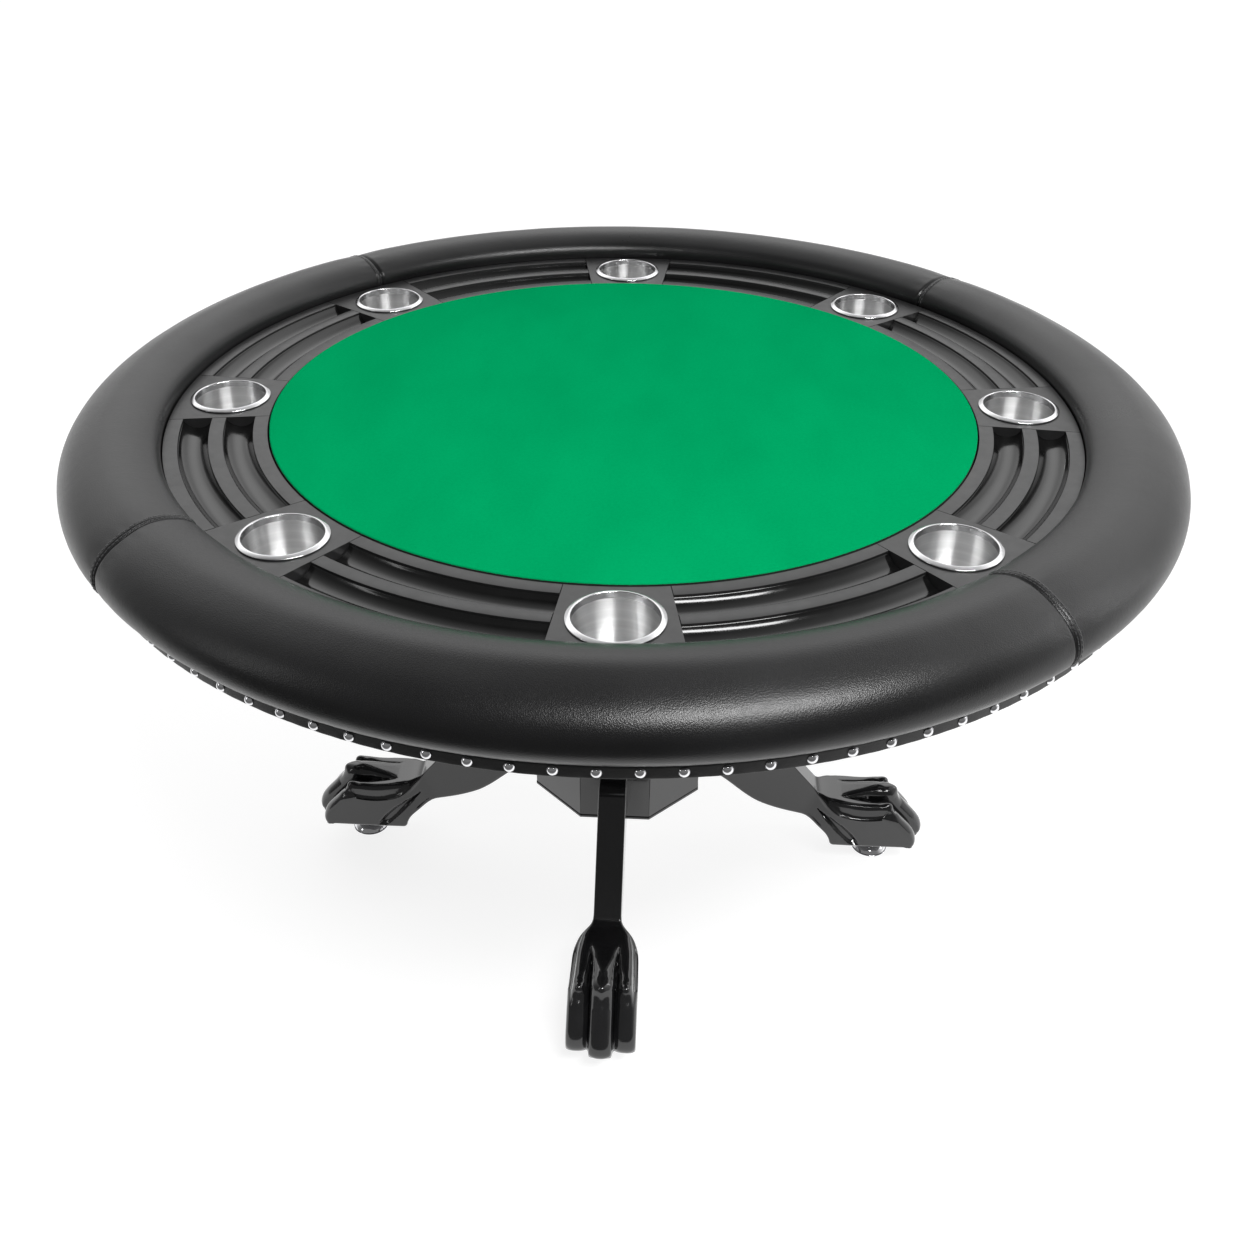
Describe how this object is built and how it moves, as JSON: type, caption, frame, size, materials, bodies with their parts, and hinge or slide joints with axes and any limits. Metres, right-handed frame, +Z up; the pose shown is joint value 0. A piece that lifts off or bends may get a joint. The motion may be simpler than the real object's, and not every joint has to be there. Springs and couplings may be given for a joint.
{
  "type": "round card table",
  "caption": "Round pedestal card table with a padded rail, a track of drop-in cups and chip channels, a raised cloth field and carved claw-foot legs on levelers.",
  "frame": {"origin": "point on the floor under the table's centre", "axes": "+Z up along the table's centre line; -Y towards the front cup; +X to the right of it"},
  "size_m": [1.3969, 1.397, 0.7845],
  "materials": {
    "black_vinyl": "fine-grained satin black vinyl",
    "foam": "open-cell foam",
    "raw_wood": "raw plywood and fibreboard",
    "green_felt": "napped green felt",
    "satin_black_track": "satin black",
    "gloss_black_rack": "satin strips with glossy channels",
    "brushed_cup": "brushed inside with a polished rim",
    "chrome": "polished",
    "black_board": "black melamine-faced board",
    "insert_brass": "turned",
    "zinc_steel": "zinc plated",
    "black_lacquer": "gloss black lacquer on carved hardwood"
  },
  "bodies": {
    "table": {"rail_core": "raw_wood", "rail_foam": "foam", "rail_band": "black_vinyl", "rail_nails": "chrome", "rail_bolts": "zinc_steel", "deck_board": "black_board", "deck_inserts": "insert_brass", "track_inner_bearer": "raw_wood", "track_outer_bearer": "raw_wood", "playing_board": "raw_wood", "playing_pad": "foam", "playing_cloth": "green_felt", "rail_cover_1": "black_vinyl", "rail_cover_2": "black_vinyl", "rail_cover_3": "black_vinyl", "rail_cover_4": "black_vinyl", "cup_block_1": "satin_black_track", "cup_block_2": "satin_black_track", "cup_block_3": "satin_black_track", "cup_block_4": "satin_black_track", "cup_block_5": "satin_black_track", "cup_block_6": "satin_black_track", "cup_block_7": "satin_black_track", "cup_block_8": "satin_black_track", "chip_rack_1": "gloss_black_rack", "chip_rack_2": "gloss_black_rack", "chip_rack_3": "gloss_black_rack", "chip_rack_4": "gloss_black_rack", "chip_rack_5": "gloss_black_rack", "chip_rack_6": "gloss_black_rack", "chip_rack_7": "gloss_black_rack", "chip_rack_8": "gloss_black_rack", "pedestal_top_plate": "black_lacquer", "top_plate_bolts": "zinc_steel", "column_staves": "black_lacquer", "column_cleats": "raw_wood", "column_base_plate": "black_lacquer", "leg_front": "black_lacquer", "leg_right": "black_lacquer", "leg_back": "black_lacquer", "leg_left": "black_lacquer", "leg_bolts": "zinc_steel", "leg_inserts": "insert_brass", "foot_inserts": "insert_brass"},
    "cup_body_1": {"cup_1": "brushed_cup"},
    "cup_body_2": {"cup_2": "brushed_cup"},
    "cup_body_3": {"cup_3": "brushed_cup"},
    "cup_body_4": {"cup_4": "brushed_cup"},
    "cup_body_5": {"cup_5": "brushed_cup"},
    "cup_body_6": {"cup_6": "brushed_cup"},
    "cup_body_7": {"cup_7": "brushed_cup"},
    "cup_body_8": {"cup_8": "brushed_cup"},
    "foot_stem_front": {"leveler_stem_front": "chrome"},
    "foot_pad_front": {"leveler_pad_front": "chrome"},
    "foot_stem_right": {"leveler_stem_right": "chrome"},
    "foot_pad_right": {"leveler_pad_right": "chrome"},
    "foot_stem_back": {"leveler_stem_back": "chrome"},
    "foot_pad_back": {"leveler_pad_back": "chrome"},
    "foot_stem_left": {"leveler_stem_left": "chrome"},
    "foot_pad_left": {"leveler_pad_left": "chrome"}
  },
  "joints": [
    {"name": "cup_lift_1", "type": "slide", "parent": "table", "child": "cup_body_1", "axis": [0, 0, 1], "range_m": [0, 0.09]},
    {"name": "cup_lift_2", "type": "slide", "parent": "table", "child": "cup_body_2", "axis": [0, 0, 1], "range_m": [0, 0.09]},
    {"name": "cup_lift_3", "type": "slide", "parent": "table", "child": "cup_body_3", "axis": [0, 0, 1], "range_m": [0, 0.09]},
    {"name": "cup_lift_4", "type": "slide", "parent": "table", "child": "cup_body_4", "axis": [0, 0, 1], "range_m": [0, 0.09]},
    {"name": "cup_lift_5", "type": "slide", "parent": "table", "child": "cup_body_5", "axis": [0, 0, 1], "range_m": [0, 0.09]},
    {"name": "cup_lift_6", "type": "slide", "parent": "table", "child": "cup_body_6", "axis": [0, 0, 1], "range_m": [0, 0.09]},
    {"name": "cup_lift_7", "type": "slide", "parent": "table", "child": "cup_body_7", "axis": [0, 0, 1], "range_m": [0, 0.09]},
    {"name": "cup_lift_8", "type": "slide", "parent": "table", "child": "cup_body_8", "axis": [0, 0, 1], "range_m": [0, 0.09]},
    {"name": "foot_travel_front", "type": "slide", "parent": "table", "child": "foot_stem_front", "axis": [0, 0, -1], "range_m": [-0.009, 0.02]},
    {"name": "foot_swivel_front", "type": "hinge", "parent": "foot_stem_front", "child": "foot_pad_front", "pos_m": [-0.01396, -0.39976, 0], "axis": [0, 0, 1], "continuous": true},
    {"name": "foot_travel_right", "type": "slide", "parent": "table", "child": "foot_stem_right", "axis": [0, 0, -1], "range_m": [-0.009, 0.02]},
    {"name": "foot_swivel_right", "type": "hinge", "parent": "foot_stem_right", "child": "foot_pad_right", "pos_m": [0.39976, -0.01396, 0], "axis": [0, 0, 1], "continuous": true},
    {"name": "foot_travel_back", "type": "slide", "parent": "table", "child": "foot_stem_back", "axis": [0, 0, -1], "range_m": [-0.009, 0.02]},
    {"name": "foot_swivel_back", "type": "hinge", "parent": "foot_stem_back", "child": "foot_pad_back", "pos_m": [0.01396, 0.39976, 0], "axis": [0, 0, 1], "continuous": true},
    {"name": "foot_travel_left", "type": "slide", "parent": "table", "child": "foot_stem_left", "axis": [0, 0, -1], "range_m": [-0.009, 0.02]},
    {"name": "foot_swivel_left", "type": "hinge", "parent": "foot_stem_left", "child": "foot_pad_left", "pos_m": [-0.39976, 0.01396, 0], "axis": [0, 0, 1], "continuous": true}
  ]
}
